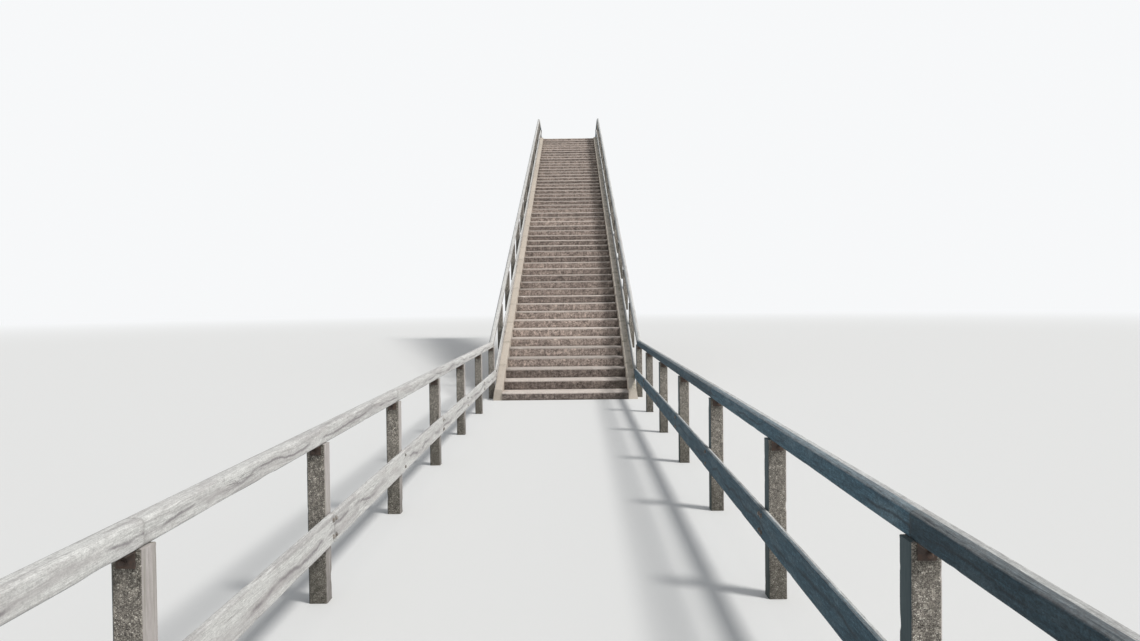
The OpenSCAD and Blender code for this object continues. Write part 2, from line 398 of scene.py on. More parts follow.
def block_sand(k):
    """Paleness of a block's tread."""
    if k < SANDED_BLOCKS:
        return 0.84 + 0.16 * math.cos(k)
    return 0.74 + 0.24 * lattice(k, 7, 3, 53)


def block_soil_and_shade(x, z, ny, nz):
    """Soil and painted shade at the right end, where the kerb shades the risers; less at the left end;
    darker along the riser's foot.
    """
    right_end = ramp(x, 0.62, 1.0) * (0.55 + 0.45 * (nz < 0.5))
    left_end = ramp(-x, 0.9, 1.03)
    foot = (1 - ramp(z, 0.0, 0.035)) * (ny < -0.5)
    return np.clip(0.92 * right_end + 0.35 * left_end + 0.6 * foot, 0, 1)


def add_block(shape, k):
    fine = k < FINE_BLOCKS
    bed_z = 0.0 if k == 0 else FIRST_RISE + (k - 1) * RISE + SEAT
    height = FIRST_RISE + k * RISE - bed_z
    profile = block_profile(height, fine)
    xs = (stations(BLOCK_W, FINE_BLOCK_X if fine else COARSE_BLOCK_X) - 0.5) * BLOCK_W
    x = np.repeat(xs[:, None], len(profile), 1)
    y, z, ny, nz = over_rows(profile, len(xs))
    p = np.stack([x, y, z], -1)
    edge = np.exp(-((np.hypot(y, height - z) / WORN_EDGE) ** 2))
    inward = block_wear(p, nz, edge, k)
    co = np.stack([x, FRONT_Y + k * GOING + y - ny * inward, bed_z + z - nz * inward], -1)
    shape.add_tube(
        "right", co, p + (k * 3.7, k * 1.9, k * 2.3), tone=block_tone(k), bleach=block_sand(k),
        damp=block_soil_and_shade(x, z, ny, nz), wear=np.clip(edge + 0.9 * (nz > 0.6), 0, 1),
    )


def make_steps(material):
    for group in range(STEP_GROUPS):
        blocks = [(k,) for k in group_of(STEP_COUNT, STEP_GROUPS, group)]
        node = f"steps_{group + 1:02d}"
        replace_node("block", node, material, SHARP_STONE, add_block, blocks)


# kerbs
# share of each kerb's own colour; the right kerb's remaining share is a pale colour painted on as light,
# where the lower rail shades it
KERB_UNLIGHTENED_SHARE = {"left": 1.0, "right": 0.6}
KERB_GRAIN_SHIFT = {"left": 50, "right": 0}
KERB_RING_STEP = 0.022
JOINT_MOSS_REACH = 0.03


def kerb_corners():
    top_x = KERB_IN_X + KERB_W
    return [
        (KERB_IN_X, KERB_BOTTOM), (KERB_FOOT_X, KERB_BOTTOM), (KERB_FOOT_X, KERB_STAND - KERB_LEAN_H),
        (top_x, KERB_STAND - KERB_BEVEL), (top_x - KERB_BEVEL, KERB_STAND),
        (KERB_IN_X + KERB_BEVEL, KERB_STAND), (KERB_IN_X, KERB_STAND - KERB_BEVEL),
    ]


def clip_plane(co, faces, grain, point, normal):
    """Cuts off what lies on the normal's side of a plane, and closes the cut."""
    bm = bmesh.new()
    layer = bm.verts.layers.float_vector.new("grain")
    verts = [bm.verts.new(c) for c in co]
    for v, g in zip(verts, grain):
        v[layer] = g
    for block in faces:
        for f in block:
            bm.faces.new([verts[i] for i in f])
    geom = bm.verts[:] + bm.edges[:] + bm.faces[:]
    cut = bmesh.ops.bisect_plane(bm, geom=geom, plane_co=point, plane_no=normal, clear_outer=True)
    edges = [e for e in cut["geom_cut"] if isinstance(e, bmesh.types.BMEdge)]
    bmesh.ops.edgeloop_fill(bm, edges=edges)
    bmesh.ops.triangulate(bm, faces=[f for f in bm.faces if len(f.verts) > 4])
    bm.verts.index_update()
    new_co = np.array([v.co for v in bm.verts])
    new_grain = np.array([v[layer] for v in bm.verts])
    blocks = [[[v.index for v in f.verts] for f in bm.faces if len(f.verts) == n] for n in (4, 3)]
    bm.free()
    return new_co, [np.array(block) for block in blocks if block], new_grain


def clip_ends(co, faces, grain, k):
    """Cuts the lowest length plumb and level at the foot, and the highest at the head."""
    cuts = []
    if k == 0:
        cuts = [((0, KERB_Y, 0), (0, -1, 0)), ((0, 0, 0), (0, 0, -1))]
    if k == KERB_PIECES - 1:
        cuts = [((0, BACK_Y, 0), (0, 1, 0)), ((0, 0, LANDING_Z + KERB_STAND), (0, 0, 1))]
    for point, normal in cuts:
        co, faces, grain = clip_plane(co, faces, grain, point, normal)
    return co, faces, grain


def kerb_wear(p, u, v, end_gap):
    """How far a kerb's points are worn inwards. The hidden lower part isn't."""
    ends = np.exp(-end_gap / 0.012)
    inner, outer = u - KERB_IN_X, u - KERB_IN_X - KERB_W
    arris = np.exp(-((inner / 0.014) ** 2)) + np.exp(-((outer / 0.014) ** 2))
    arris = np.exp(-((KERB_STAND - v) / 0.012) ** 2) * arris
    rough = fbm(p * 40, 5) * 0.001
    chips = ramp(value_noise(p * (14, 5, 5), 23), 0.7, 0.95) * arris * 0.007
    worn = rough + chips + arris * 0.0015 + ends * 0.0016 * value_noise(p * 30, 29)
    return worn * ramp(v, KERB_STAND - 0.16, KERB_STAND - 0.1)


def kerb_moss(grain, side, start, end):
    """Moss on top, thick on the right kerb's outer half, more at joints, little down the sides."""
    across = (grain[:, 1] - KERB_IN_X) / KERB_W
    gap = np.minimum(np.abs(grain[:, 0] - start), np.abs(grain[:, 0] - end))
    if side == "right":
        moss, joint_moss = 0.45 + 0.95 * ramp(across, 0.44, 0.72), 1.1
    else:
        moss, joint_moss = 0.25 * ramp(across, 0.7, 1.0), 0.55
    low = ramp(KERB_STAND - grain[:, 2], 0.02, 0.1)
    top_moss = 0.65 * moss * (1 - 0.92 * low)
    at_joint = joint_moss * np.exp(-gap / JOINT_MOSS_REACH) * (1 - 0.6 * low)
    return np.clip(top_moss + at_joint + 0.24 * low, 0, 1)


def add_kerb_piece(shape, side, k):
    """A length of kerb. The first and the last run on along the slope and are clipped."""
    start = -KERB_H if k == 0 else k * KERB_STEP + KERB_JOINT / 2
    end = KERB_RUN + KERB_H if k == KERB_PIECES - 1 else (k + 1) * KERB_STEP - KERB_JOINT / 2
    outline = outline_points(kerb_corners(), KERB_RING_STEP)
    t = stations(end - start, spacing_at(KERB_Y + start, KERB_SPACING))
    u, v, nu, nv = over_rows(outline, len(t))
    along = np.repeat((start + t * (end - start))[:, None], len(outline), 1)
    p = np.stack([along, u, v], -1) + (k * 2.3 + KERB_GRAIN_SHIFT[side], 0, 0)
    inward = kerb_wear(p, u, v, np.minimum(along - start, end - along))
    u, v = u - nu * inward, v - nv * inward
    foot_z = FIRST_RISE + (KERB_Y - FRONT_Y) * PITCH
    c, s = math.cos(SLOPE), math.sin(SLOPE)
    co = np.stack([u, KERB_Y + along * c - v * s, foot_z + along * s + v * c], -1)
    co, faces, grain = clip_ends(with_middles(co), tube_faces(*u.shape), with_middles(p), k)
    shape.add(
        on_side(side, co), faces, grain=grain,
        tone=0.5 + 0.35 * (lattice(k, 9, 1 + SIDES.index(side), 57) - 0.5),
        damp=kerb_moss(grain, side, p[0, 0, 0], p[-1, 0, 0]),
        bleach=KERB_UNLIGHTENED_SHARE[side],
    )


def make_kerbs(material):
    for side in SIDES:
        for group, place in enumerate(KERB_PLACES):
            lengths = [(side, k) for k in group_of(KERB_PIECES, len(KERB_PLACES), group)]
            node = f"kerb_{side}_{place}"
            replace_node("stone", node, material, SHARP_STONE, add_kerb_piece, lengths)


# posts
POST_RING_STEP, POST_ROW_STEP = 0.0045, 0.0055
PEBBLED_SPACING = 0.008
PEBBLES_A_METRE = 105


def rail_z(z, y):
    """Height at y of a line at z that climbs with the flight between its corner posts."""
    return z + np.clip(np.minimum(y, HEAD_Y) - CORNER_Y, 0, None) * PITCH


def flight_foot_z(i):
    """Foot of a post beside the flight: on the kerb's bed, or level at the flight's ends."""
    if i == 0:
        return 0.0
    if i == FLIGHT_BAYS:
        return HEAD_FOOT_Z
    y = CORNER_Y + i * FLIGHT_BAY
    return FIRST_RISE + (y - FRONT_Y) * PITCH + KERB_BOTTOM / math.cos(SLOPE)


def post_wear(p, u, v, washed, spacing):
    """How far a post's points are worn inwards: between stones and at worn, chipped arrises."""
    arris = np.exp(-((POST_W / 2 - np.abs(u)) + (POST_W / 2 - np.abs(v))) / 0.01)
    stones = pebbles(p * PEBBLES_A_METRE, 41) if spacing < PEBBLED_SPACING else 0.5
    face = 0.0014 * (1 - stones) * washed + 0.0006 * fbm(p * 50, 43)
    return face + arris * (0.0012 + 0.007 * ramp(value_noise(p * 16, 47), 0.66, 0.95))


def add_post(shape, side, y, foot_z, number):
    half, inner = POST_W / 2, POST_W / 2 - POST_BEVEL
    corners = [(-inner, -half), (inner, -half), (half, -inner), (half, inner),
               (inner, half), (-inner, half), (-half, inner), (-half, -inner)]
    spacing = spacing_at(y, POST_SPACING)
    outline = outline_points(corners, max(POST_RING_STEP, spacing))
    t = stations(TOP_UNDER_Z, max(POST_ROW_STEP, spacing))[:, None]
    u, v, nu, nv = over_rows(outline, len(t))
    top = rail_z(TOP_UNDER_Z, y + v) - SEAT
    z = foot_z + t * (top - foot_z)
    p = np.stack([u, v, z], -1) + (number * 1.31, number * 0.77, 0)
    washed = ramp(np.abs(nv), 0.5, 0.9)
    inward = post_wear(p, u, v, washed, spacing) * ramp(t, 0.0, 0.01) * (1 - ramp(t, 0.985, 1.0))
    co = np.stack([POST_X + u - nu * inward, y + v - nv * inward, z], -1)
    rightward = -nu if side == "left" else nu
    # foot: algae and painted shade, fading out about half a metre up; head: algae under the top rail
    foot = 1 - ramp(z - foot_z, 0.04, 0.48)
    head = ramp(z - top, -0.16, -0.03)
    shape.add_tube(
        side, co, p, tone=0.5 + 0.3 * (lattice(number, 4, 2, 77) - 0.5),
        # paler on faces turned to the key light, painted shade on faces turned away
        bleach=np.clip(0.5 + 0.62 * rightward + 0.25 * np.abs(nv), 0, 1),
        damp=np.clip(0.5 * foot + 0.35 * head * washed, 0, 1), wear=washed,
    )


def posts_of(place):
    """Number, y and rails' tilt at a stretch's posts. The corner posts belong to the flight."""
    start, step, bays, tilt = STRETCHES[place]
    first = 0 if place == "flight" else 1
    return [(i, start + i * step, tilt) for i in range(first, bays + 1)]


def steel_groups(side):
    """Side, stretch, number, y and tilt at the posts of each steel node."""
    approach, flight, head = [
        [(side, number, *post) for post in posts_of(place)] for number, place in enumerate(STRETCHES)
    ]
    return {"approach": approach, "flight": flight + head}


def make_posts(material):
    above_lower = FLIGHT_BAYS // 2 + 1
    for side in SIDES:
        seed = POST_SEED[side]
        flight = [(side, y, flight_foot_z(i), seed + 20 + i) for i, y, _ in posts_of("flight")]
        nodes = {
            f"posts_{side}_approach": [(side, y, 0.0, seed + i) for i, y, _ in posts_of("approach")],
            f"posts_{side}_lower_flight": flight[:above_lower],
            f"posts_{side}_upper_flight": flight[above_lower:],
            f"post_{side}_head": [(side, y, HEAD_FOOT_Z, seed + 50 + i) for i, y, _ in posts_of("head")],
        }
        for node, posts in nodes.items():
            replace_node("cast", node, material, SHARP_STONE, add_post, posts)


# rails
FINE_RAIL_SPACING = 0.035
FINE_RAIL_RING, COARSE_RAIL_RING = 0.0075, 0.02


def rail_corners(w, h, upper, lower):
    """A rail's section. Two close corners on top mark the edge between the top's pale outer half and its
    greyer inner half.
    """
    half = w / 2
    return [(lower - half, 0), (half - lower, 0), (half, lower), (half, h - upper), (half - upper, h),
            (STRIP_EDGE, h), (-STRIP_EDGE, h), (upper - half, h), (-half, h - upper), (-half, lower)]


def rail_wear(p, arris, end_gap, number):
    """How far a rail's points are worn inwards: grain, splits and rounded, bitten arrises."""
    lines = value_noise(p * (4, 90, 90) + number, 61)
    splits = ramp(value_noise(p * (1.6, 34, 34) + number, 63), 0.78, 0.93)
    bites = ramp(value_noise(p * (6, 12, 12) + number, 67), 0.74, 0.96)
    rounded = 0.0008 + 0.0012 * value_noise(p * (5, 9, 9), 71) + 0.0055 * bites
    return 0.0006 * lines + 0.0012 * splits + arris * rounded + np.exp(-end_gap / 0.004) * 0.0008


def rail_painted_light(side, u, nu, nv, tilt):
    """How pale the timber is, as painted light and shade: palest on faces that turn to the key light and
    up, darkest on faces turned away.
    """
    rightward = -nu if side == "left" else nu
    bleach = np.clip(0.52 + 0.6 * rightward + 0.46 * nv, 0, 1)
    if side == "left":
        return bleach
    # right side: the inner half of the top is greyer, and the flight's lengths get less painted shade
    on_top = ramp(nv, 0.6, 1.0)
    bleach = bleach * (1 - 0.62 * on_top * (1 - ramp(u, -STRIP_EDGE, STRIP_EDGE)))
    return bleach * (1 - 0.24 * on_top) if tilt == 0 else 0.42 + 0.5 * bleach


def add_rail(shape, side, x, ends, leans, tilt, size, number):
    """A length of timber between two (y, z) points of its underside, its end cuts leaning by leans."""
    w, h = size[:2]
    way = np.array([math.cos(tilt), math.sin(tilt)])
    up = np.array([-math.sin(tilt), math.cos(tilt)])
    a = np.array(ends[0]) + SWOLLEN_JOINT / 2 * way
    b = np.array(ends[1]) - SWOLLEN_JOINT / 2 * way
    length = np.linalg.norm(b - a)
    spacing = spacing_at(ends[0][0], RAIL_SPACING)
    ring_step = FINE_RAIL_RING if spacing < FINE_RAIL_SPACING else COARSE_RAIL_RING
    t = stations(length, spacing)[:, None]
    u, v, nu, nv = over_rows(outline_points(rail_corners(*size), ring_step), len(t))
    cut_a = -v * math.tan(leans[0] - tilt)
    cut_b = length - v * math.tan(leans[1] - tilt)
    along = cut_a + t * (cut_b - cut_a)
    p = np.stack([along, u, v], -1) + (number * 5.3, 0, 0)
    arris = np.exp(-((w / 2 - np.abs(u)) + np.minimum(v, h - v)) / 0.008)
    end_gap = np.repeat(np.minimum(t, 1 - t) * length, v.shape[1], 1)
    inward = rail_wear(p, arris, end_gap, number)
    yz = a + along[..., None] * way + (v - nv * inward)[..., None] * up
    co = np.stack([x + u - nu * inward, yz[..., 0], yz[..., 1]], -1)
    shape.add_tube(
        side, co, p, tone=0.5 + 0.5 * (lattice(number, 8, 6, 31) - 0.5),
        bleach=rail_painted_light(side, u, nu, nv, tilt),
        damp=0.3 * np.exp(-end_gap / 0.01), wear=np.clip(v / h, 0, 1),
    )


def rail_cuts(bays, first):
    return [0] + [k for k in range(1, bays) if (k - first) % RAIL_SPAN == 0] + [bays]


def rail_cut(place, c):
    """Y of a rail's cut after c bays, and its lean: halfway where the rail turns, else square."""
    start, step, bays, tilt = STRETCHES[place]
    y = start + c * step
    if c == 0 or (place == "flight" and c == bays):
        return y, SLOPE / 2
    return (y + math.copysign(RAIL_PAST, step) if c == bays else y), tilt


def make_rail_line(kind, side, x, z, first, size, material, seed):
    for number, (place, (_, _, bays, tilt)) in enumerate(STRETCHES.items()):
        cuts = rail_cuts(bays, first)
        lengths = []
        for i in range(1, len(cuts)):
            ys, leans = zip(*sorted([rail_cut(place, cuts[i - 1]), rail_cut(place, cuts[i])]))
            ends = [(y, rail_z(z, y)) for y in ys]
            lengths.append((side, x, ends, leans, tilt, size, seed + 20 * number + i))
        node = f"{kind}_{side}_{place}"
        replace_node("timber", node, material, SHARP_TIMBER, add_rail, lengths)


def make_rails(material):
    top_size = (TOP_W, TOP_H, TOP_BEVEL, LOW_BEVEL)
    low_size = (LOW_T, LOW_H, LOW_BEVEL, LOW_BEVEL)
    for side in SIDES:
        top_seed, low_seed = TOP_RAIL_SEED[side], LOW_RAIL_SEED[side]
        make_rail_line("top_rail", side, POST_X, TOP_UNDER_Z, RAIL_SPAN, top_size, material, top_seed)
        make_rail_line("low_rail", side, LOW_X, LOW_UNDER_Z, 1, low_size, material, low_seed)


# brackets and bolts: how many sides a turned form has, and its radius and height from rim to crown
WASHER = 20, [(0.0135, 0), (0.014, 0.0004), (0.014, 0.002), (0.0133, WASHER_T), (0.006, 0.0027)]
DOME = 18, [(0.01, 0), (0.0102, 0.0012), (0.0094, 0.0036), (0.007, 0.0056), (0.0035, 0.0066),
            (0.0012, 0.0068)]
HEX = 6, [(0.0098, 0), (0.0104, 0.0006), (0.0104, 0.0058), (0.0092, 0.0074), (0.004, 0.0078),
          (0.0012, 0.0078)]
SCREW = 12, [(0.0062, 0), (0.0063, 0.0006), (0.005, 0.0022), (0.0024, 0.003), (0.001, 0.0031)]
ZINC_LEFT = {"left": 0.9, "right": 0.35}


def add_turned(shape, side, form, centre, axis, number, turn=0.0, zinc=0.0):
    """A turned solid that stands on centre and points along axis."""
    sides, profile = form
    centre, axis = np.asarray(centre, float), np.asarray(axis, float)
    helper = np.array([1.0, 0, 0]) if abs(axis[0]) < 0.9 else np.array([0, 1.0, 0])
    e1 = np.cross(axis, helper)
    e1 /= np.linalg.norm(e1)
    e2 = np.cross(axis, e1)
    angle = (turn + np.arange(sides) * 2 * math.pi / sides)[:, None]
    spokes = np.cos(angle) * e1 + np.sin(angle) * e2
    co = with_middles(np.array([centre + axis * h + r * spokes for r, h in profile]))
    shape.add(
        on_side(side, co), tube_faces(len(profile), sides),
        grain=co + number * 0.37, tone=lattice(number, 5, 5, 19), bleach=zinc,
    )


def angle_outline(tilt):
    """Side view of the steel angle, its heel and inner corner rounded, as (y, z) points."""
    t, leg, arm, r = ANGLE_T, ANGLE_LEG, ANGLE_ARM, FILLET_R
    heel = [(-HEEL_R, -HEEL_R * math.tan(tilt)), (0.0, -0.0025)]
    foot = [(0.0, HEEL_R - leg), (-HEEL_R, -leg), (HEEL_R - t, -leg), (-t, HEEL_R - leg)]
    inner_z = -t * math.tan(tilt) - t / math.cos(tilt)
    fillet = []
    for degrees in (0, 30, 60, 90):
        a = math.radians(degrees)
        fillet.append((-t - r + r * math.cos(a), inner_z - r * math.tan(tilt) - r + r * math.sin(a)))
    c, s = math.cos(tilt), math.sin(tilt)
    tip = [(t * s - arm * c, -arm * s - t * c), (-arm * c, -arm * s)]
    return np.array((heel + foot + fillet + tip)[::-1])


def add_bracket(shape, side, stretch, i, y, tilt):
    """A steel angle under the top rail, with a bolt in its leg and two screws in its arm."""
    number = BRACKET_SEED[side] + 60 * stretch + 3 * i
    tilt = tilt if i else 0.0
    face_y = y - POST_W / 2 - SEAT
    z = rail_z(TOP_UNDER_Z, face_y) - SEAT
    outline = angle_outline(tilt)
    edges = np.roll(outline, -1, 0) - np.roll(outline, 1, 0)
    out = np.stack([edges[:, 1], -edges[:, 0]], 1) / np.linalg.norm(edges, axis=1)[:, None]
    end, bevel = ANGLE_W / 2, ANGLE_BEVEL
    rows = []
    for dx, inset in ((-end, bevel), (bevel - end, 0), (end - bevel, 0), (end, bevel)):
        ring = outline - out * inset + (face_y, z)
        rows.append(np.column_stack([np.full(len(ring), POST_X + dx), ring]))
    co = np.concatenate(rows)
    shape.add(
        on_side(side, co), capped_faces(len(rows), len(outline)),
        grain=co + number * 0.37, tone=lattice(number, 5, 1, 19),
    )
    toward_eye = np.array([0, -1, 0])
    leg_face = np.array([POST_X + ANGLE_BOLT_X, face_y - ANGLE_T, z - ANGLE_BOLT_DROP])
    add_turned(shape, side, WASHER, leg_face, toward_eye, number)
    add_turned(shape, side, DOME, leg_face + WASHER_T * toward_eye, toward_eye, number + 1)
    way = np.array([0, math.cos(tilt), math.sin(tilt)])
    under = np.array([0, math.sin(tilt), -math.cos(tilt)])
    for dx in (-SCREW_X, SCREW_X):
        spot = np.array([POST_X + dx, face_y, z]) - SCREW_REACH * way + under * (ANGLE_T - SCREW_SUNK)
        add_turned(shape, side, SCREW, spot, under, number + 2)


def make_brackets(material):
    for side in SIDES:
        for place, spots in steel_groups(side).items():
            node = f"brackets_{side}_{place}"
            replace_node("angle", node, material, SHARP_STEEL, add_bracket, spots)


def add_low_rail_bolts(shape, side, stretch, i, y, tilt):
    """Two bolts through the lower rail at a post, or two in each length at a joint."""
    face_x = LOW_X - LOW_T / 2
    bays = (APPROACH_BAYS, FLIGHT_BAYS, HEAD_BAYS)[stretch]
    joint = i in rail_cuts(bays, 1)[:-1]
    shifts = (-BOLT_SHIFT, BOLT_SHIFT) if joint else (0.0,)
    for (n, dy), (m, part) in itertools.product(enumerate(shifts), enumerate(BOLT_HEIGHTS)):
        z = rail_z(LOW_UNDER_Z, y + dy) + LOW_H * part / math.cos(tilt)
        number = BOLT_SEED[side] + 8 * i + 2 * n + m
        for form, sunk, turn in ((WASHER, WASHER_SUNK, 0.0), (HEX, -BOLT_PROUD, number * 0.7)):
            centre = (face_x + sunk, y + dy, z)
            add_turned(shape, side, form, centre, (-1, 0, 0), number, turn, ZINC_LEFT[side])


def make_low_rail_bolts(material):
    for side in SIDES:
        for place, spots in steel_groups(side).items():
            shape = Shape()
            for spot in spots:
                add_low_rail_bolts(shape, *spot)
            piece = shape.build(f"rail_bolts_{side}_{place}", material, SHARP_STEEL)


# materials
class Nodes:
    """Short calls that build a node tree from numbers, colours and nodes' outputs."""

    def __init__(self, owner, kind="Material"):
        owner.use_nodes = True
        self.owner = owner
        self.tree = owner.node_tree
        self.tree.nodes.clear()
        self.end = self.tree.nodes.new(f"ShaderNodeOutput{kind}").inputs[0]
        self.place = None

    def put(self, socket, value):
        """Sets an input, unless value is None."""
        if isinstance(value, bpy.types.NodeSocket):
            self.tree.links.new(value, socket)
        elif isinstance(value, tuple) and socket.type == "RGBA":
            socket.default_value = (*value, 1)
        elif value is not None:
            socket.default_value = value

    def node(self, kind, inputs, output=0, **settings):
        """One output of a new node with these inputs and settings."""
        node = self.tree.nodes.new(f"ShaderNode{kind}")
        for name, value in settings.items():
            setattr(node, name, value)
        for name, value in inputs.items():
            self.put(node.inputs[name], value)
        return node.outputs[output]

    def field(self, name, output="Fac"):
        return self.node("Attribute", {}, output, attribute_name=name)

    def math(self, operation, a, b=0.0):
        return self.node("Math", {0: a, 1: b}, operation=operation)

    def product(self, *factors):
        result = factors[0]
        for factor in factors[1:]:
            result = self.math("MULTIPLY", result, factor)
        return result

    def swing(self, value, amount):
        """How far a value lies from one half, times amount."""
        return self.product(self.math("SUBTRACT", value, 0.5), amount)

    def scaled(self, vector, scale, shift=(0, 0, 0)):
        return self.node("Mapping", {"Vector": vector, "Scale": scale, "Location": shift})

    def shifted(self, vector, by, amount):
        """vector moved by a noise colour times amount"""
        centred = self.node("VectorMath", {0: by, 1: (0.5, 0.5, 0.5)}, operation="SUBTRACT")
        return self.node("VectorMath", {0: centred, 1: amount, 2: vector}, operation="MULTIPLY_ADD")

    def noise(self, scale, detail, rough=0.55, output="Fac", at=None):
        """Noise at a vector or at the piece's own grain. Three scales stretch it."""
        at = at or self.place
        if isinstance(scale, tuple):
            at, scale = self.scaled(at, scale), 1.0
        inputs = {"Vector": at, "Scale": scale, "Detail": detail, "Roughness": rough}
        return self.node("TexNoise", inputs, output)

    def cells(self, scale, output="Color", feature="F1", at=None):
        inputs = {"Vector": at or self.place, "Scale": scale}
        return self.node("TexVoronoi", inputs, output, feature=feature)

    def ramp(self, fac, *stops):
        """A scale of greys or colours, each with its place."""
        result = self.node("ValToRGB", {0: fac})
        points = result.node.color_ramp.elements
        while len(points) < len(stops):
            points.new(0.5)
        for point, (place, colour) in zip(points, stops):
            point.position = place
            point.color = (*(colour if isinstance(colour, tuple) else (colour,) * 3), 1)
        return result

    def mix(self, fac, a, b, blend="MIX"):
        return self.node("Mix", {0: fac, 6: a, 7: b}, 2, data_type="RGBA", blend_type=blend)

    def toward(self, base, colour, mask, low, high, most=1.0, least=0.0):
        """base mixed with colour: least where mask is low, most where it is high"""
        return self.mix(self.ramp(mask, (low, least), (high, most)), base, colour)

    def shaded(self, base, fac, *stops):
        """base times a grey that follows fac"""
        return self.mix(1, base, self.ramp(fac, *stops), "MULTIPLY")

    def bump(self, height, distance, strength, before=None):
        inputs = {"Distance": distance, "Strength": strength, "Height": height, "Normal": before}
        return self.node("Bump", inputs)

    def part(self, vector, index):
        return self.node("SeparateXYZ", {0: vector}, index)

    def surface(self, colour, roughness, normal=None, specular=0.3, metallic=0.0):
        inputs = {"Base Color": colour, "Roughness": roughness, "Normal": normal,
                  "Specular IOR Level": specular, "Metallic": metallic}
        return self.node("BsdfPrincipled", inputs)

    def done(self, shader):
        self.put(self.end, shader)
        return self.owner


def new_nodes(name):
    n = Nodes(bpy.data.materials.new(name))
    n.place = n.field("grain", "Vector")
    return n


# aggregate: dark, middle and light stones, the palest flecks and the cement between them
STEP_STONES = ((0.11, 0.085, 0.076), (0.36, 0.285, 0.25), (0.6, 0.5, 0.44), (0.82, 0.75, 0.68),
               (0.31, 0.25, 0.22))
POST_STONES = ((0.05, 0.044, 0.04), (0.165, 0.146, 0.13), (0.42, 0.388, 0.332), (0.8, 0.76, 0.67),
               (0.17, 0.154, 0.136))
STEP_STONE_SCALE, POST_STONE_SCALE = 78, 150
FINE_STONES = 2.1


def washed_aggregate(n, scale, colours):
    """Colour and height of rounded stones among finer ones in a cement matrix."""
    dark, mid, light, fleck, matrix = colours
    jog = n.noise(scale * 0.8, 2, output="Color")
    spot = n.shifted(n.place, jog, (0.3 / scale, 0.3 / scale, 0.3 / scale))
    stops = ((0, dark), (0.34, mid), (0.62, light), (0.86, light), (0.93, fleck))
    fine = n.ramp(n.part(n.cells(scale * FINE_STONES, at=spot), 0), *stops)
    gap = n.cells(scale * FINE_STONES, "Distance", "DISTANCE_TO_EDGE", at=spot)
    fine = n.mix(n.ramp(gap, (0.04, 1), (0.2, 0)), fine, matrix)
    cell = n.cells(scale, at=spot)
    round_stone = n.ramp(n.cells(scale, "Distance", at=spot), (0.3, 1), (0.46, 0))
    coarse = n.product(round_stone, n.ramp(n.part(cell, 1), (0.4, 0), (0.44, 1)))
    height = n.math("ADD", n.product(n.math("MINIMUM", gap, 0.25), 0.6), n.product(coarse, 0.25))
    return n.mix(coarse, fine, n.ramp(n.part(cell, 0), *stops)), height


def step_riser(n, stones, patches, tone):
    cement, run = (0.58, 0.48, 0.42), (0.125, 0.102, 0.092)
    riser = n.toward(stones, cement, patches, 0.35, 0.68, 0.55)
    riser = n.shaded(riser, n.noise(26, 3, 0.75), (0.3, 0.36), (0.5, 1), (0.7, 1.6))
    blots = n.noise((9, 5, 14), 4, 0.7)
    riser = n.shaded(riser, blots, (0.34, 0.52), (0.52, 1), (0.68, 1.3))
    riser = n.toward(riser, run, n.noise((26, 3, 2.2), 3, 0.6), 0.5, 0.76, 0.6)
    return n.shaded(riser, tone, (0, 0.3), (0.5, 1), (1, 1.35))


def step_tread(n, stones, patches, paleness):
    darker, paler, dull = (0.66, 0.575, 0.515), (0.95, 0.88, 0.82), (0.55, 0.47, 0.41)
    tread = n.mix(n.noise(160, 3, 0.7), darker, paler)
    tread = n.toward(tread, stones, n.noise(14, 4, 0.7), 0.4, 0.62, 0.3, 0.105)
    tread = n.toward(tread, dull, patches, 0.3, 0.75, 0.35)
    tread = n.shaded(tread, n.noise(34, 3, 0.7), (0.3, 0.86), (0.7, 1.08))
    return n.shaded(tread, paleness, (0, 0), (1, 1))


def step_material():
    n = new_nodes("washed_step_concrete")
    soil_and_shade = (0.05, 0.047, 0.04)
    stones, height = washed_aggregate(n, STEP_STONE_SCALE, STEP_STONES)
    patches = n.noise(4.5, 4, 0.6)
    riser = step_riser(n, stones, patches, n.field("tone"))
    tread = step_tread(n, stones, patches, n.field("bleach"))
    worn = n.math("ADD", n.field("wear"), n.swing(n.noise(60, 3, 0.7), 0.5))
    colour = n.toward(riser, tread, worn, 0.42, 0.66)
    # Soil, with painted shade at the right end of the risers
    damp = n.product(n.field("damp"), n.ramp(n.noise(9, 4, 0.65), (0.25, 0.35), (0.7, 1)))
    colour = n.mix(n.product(damp, 0.9), colour, soil_and_shade)
    grit = n.noise(420, 2, 0.6)
    normal = n.bump(grit, 0.0008, 0.35, n.bump(height, 0.0045, 0.55))
    return n.done(n.surface(colour, n.ramp(grit, (0.2, 0.78), (0.8, 0.95)), normal))


